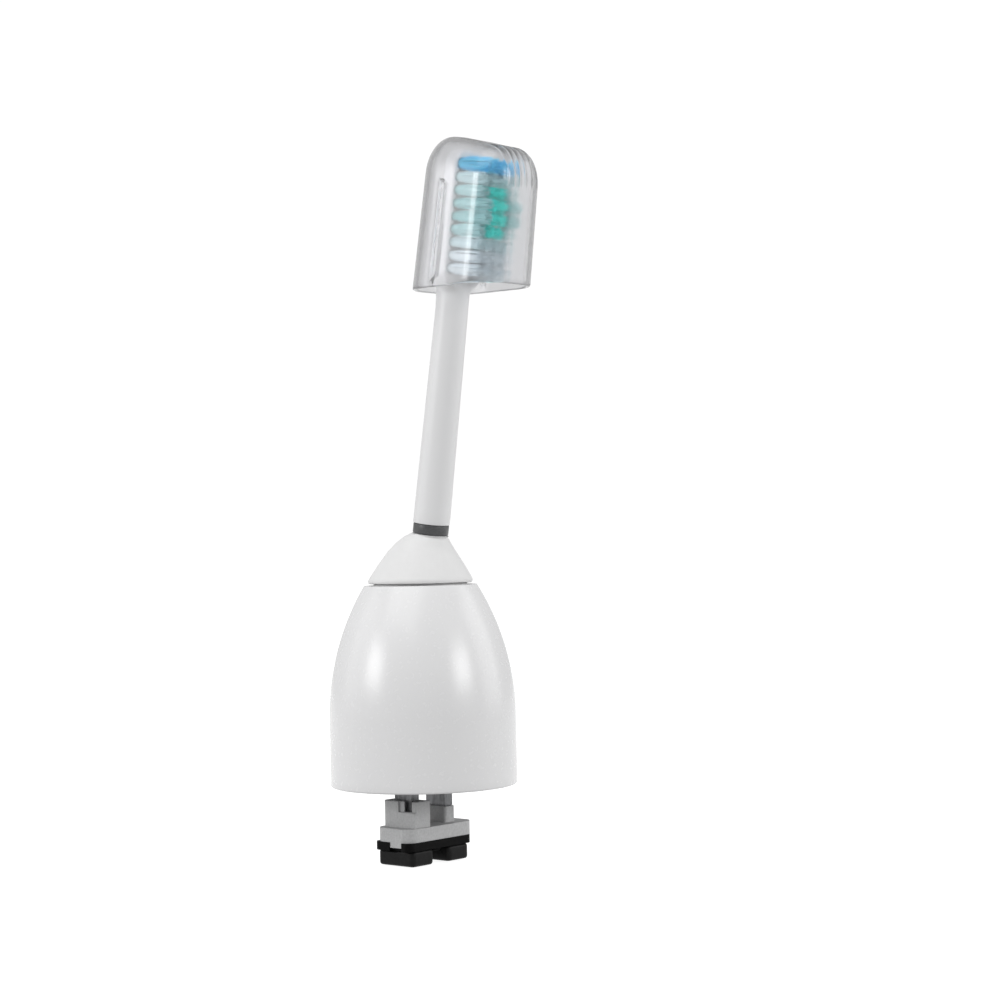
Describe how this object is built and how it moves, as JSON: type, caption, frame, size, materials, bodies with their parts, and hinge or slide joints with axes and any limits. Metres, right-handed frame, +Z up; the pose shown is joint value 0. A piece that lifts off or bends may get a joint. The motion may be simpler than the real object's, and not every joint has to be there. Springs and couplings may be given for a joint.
{
  "type": "electric toothbrush head",
  "caption": "Screw-on brush head for a power toothbrush: bell nut, sweeping neck on a sprung pin, drive magnets below, and a clear cap over the bristles.",
  "frame": {"origin": "centre of the nut's lower rim, on the screw axis", "axes": "+Z up the screw axis towards the brush; the bristles face -Y; the brush sweeps along X"},
  "size_m": [0.029, 0.0371, 0.1112],
  "materials": {
    "nut_plastic": "satin white moulded plastic",
    "housing_plastic": "white glass-filled plastic",
    "stem_plastic": "satin white moulded plastic",
    "boot_rubber": "matt white elastomer",
    "gasket_rubber": "matt",
    "ring_plastic": "satin dark grey",
    "bush_plastic": "natural acetal",
    "pin_steel": "ground",
    "lever_metal": "dark passivated, stamped",
    "carrier_plastic": "mid grey moulded plastic",
    "keeper_iron": "black coating",
    "magnet_black": "black epoxy coating",
    "anchor_brass": "bright",
    "bristle_blue": "nylon filament",
    "bristle_green": "nylon filament",
    "bristle_white": "translucent nylon filament",
    "clear_plastic": "clear polystyrene"
  },
  "bodies": {
    "housing": {"pivot_housing": "housing_plastic", "torsion_pin": "pin_steel", "pivot_bushes": "bush_plastic", "base_gasket": "gasket_rubber", "seal_boot": "boot_rubber", "boot_clamp_ring": "pin_steel"},
    "nut": {"retaining_nut": "nut_plastic"},
    "arm": {"lever_frame": "lever_metal", "brush_stem": "stem_plastic", "colour_ring": "ring_plastic", "tufts_tip": "bristle_blue", "tufts_upper": "bristle_white", "tufts_centre": "bristle_green", "tufts_side": "bristle_white", "tufts_heel": "bristle_white", "tuft_anchors": "anchor_brass", "magnet_carrier": "carrier_plastic", "keeper_plate": "keeper_iron", "magnet_left": "magnet_black", "magnet_right": "magnet_black", "carrier_rivets": "keeper_iron"},
    "cap": {"travel_cap": "clear_plastic"}
  },
  "joints": [
    {"name": "nut_turn", "type": "hinge", "parent": "housing", "child": "nut", "pos_m": [0, 0, 0.016], "axis": [0, 0, 1], "continuous": true},
    {"name": "brush_sweep", "type": "hinge", "parent": "housing", "child": "arm", "pos_m": [0, 0, 0.0241], "axis": [0, 1, 0], "range_deg": [-2.5, 2.5], "stiffness_Nm_per_rad": 2, "deforming": ["seal_boot"]},
    {"name": "cap_pull", "type": "slide", "parent": "arm", "child": "cap", "axis": [0, -0.1547, 0.988], "range_m": [0, 0.032]}
  ]
}
